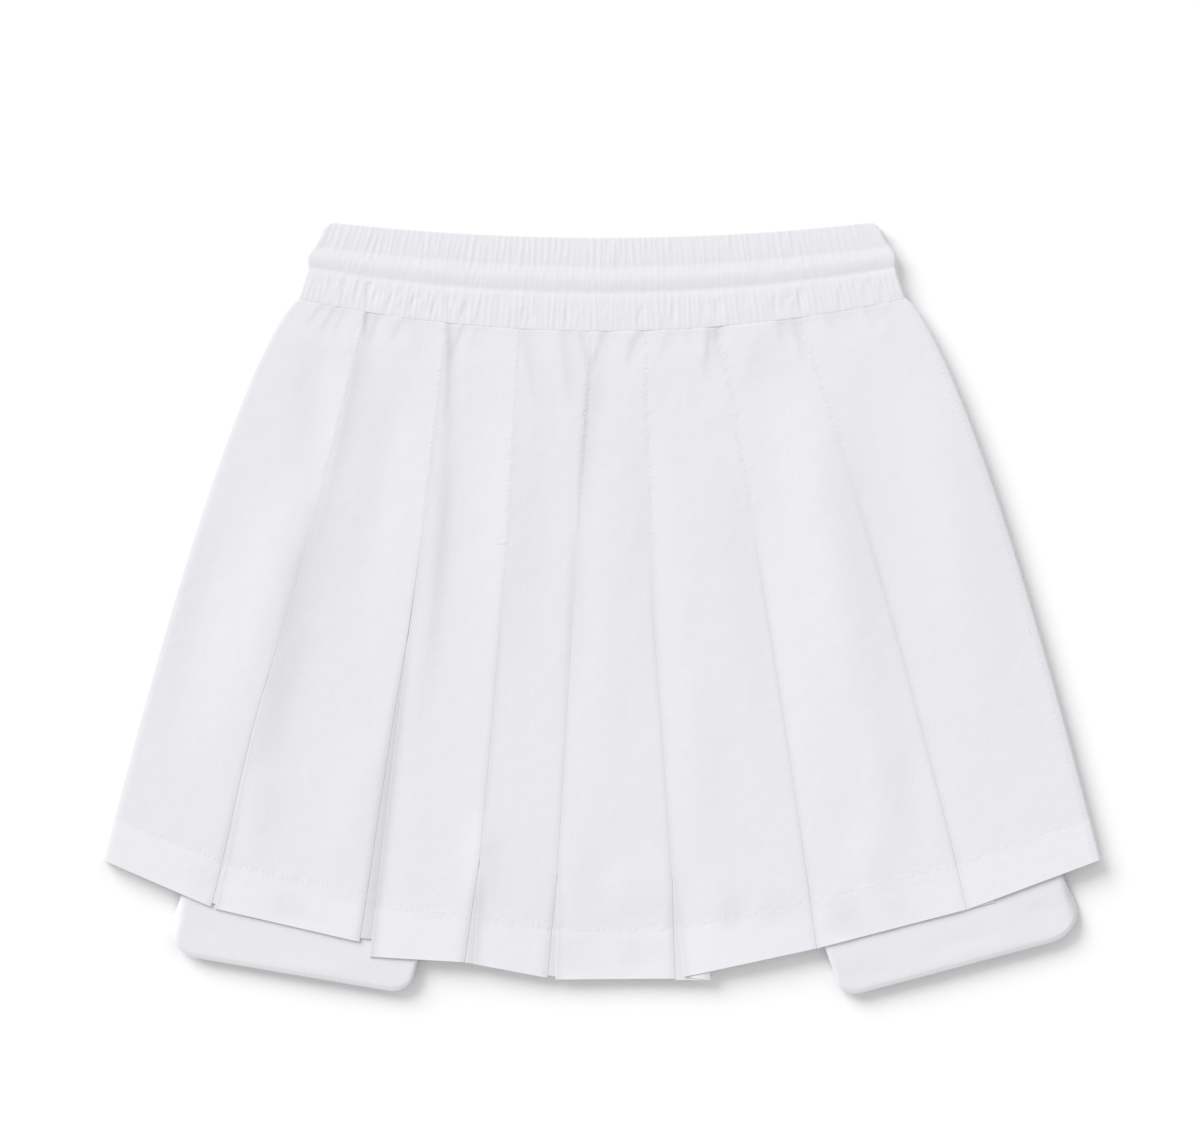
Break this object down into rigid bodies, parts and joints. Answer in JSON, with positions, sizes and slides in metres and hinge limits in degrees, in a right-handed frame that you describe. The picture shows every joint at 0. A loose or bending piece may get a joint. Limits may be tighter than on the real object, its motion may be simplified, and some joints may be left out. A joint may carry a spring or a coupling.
{
  "type": "golf skort",
  "caption": "White pleated golf skort with a gathered elastic waistband and inner shorts, lying flat on its back.",
  "frame": {"origin": "centre of the bounding box in X and Y, on the surface that the back lies on", "axes": "+X across the garment, to the right of someone looking down at its front; +Y up towards the waist; +Z out of the front"},
  "size_m": [0.54, 0.4152, 0.0102],
  "materials": {
    "waistband_cloth": "matte plain weave, gathered on elastic",
    "skirt_cloth": "matte plain weave with a faint sheen",
    "shorts_cloth": "matte fine knit"
  },
  "bodies": {
    "root": {"waistband_front": "waistband_cloth", "waistband_back": "waistband_cloth", "skirt_front": "skirt_cloth", "skirt_back": "skirt_cloth", "shorts_front_left": "shorts_cloth", "shorts_front_right": "shorts_cloth", "shorts_back_left": "shorts_cloth", "shorts_back_right": "shorts_cloth"}
  },
  "joints": []
}
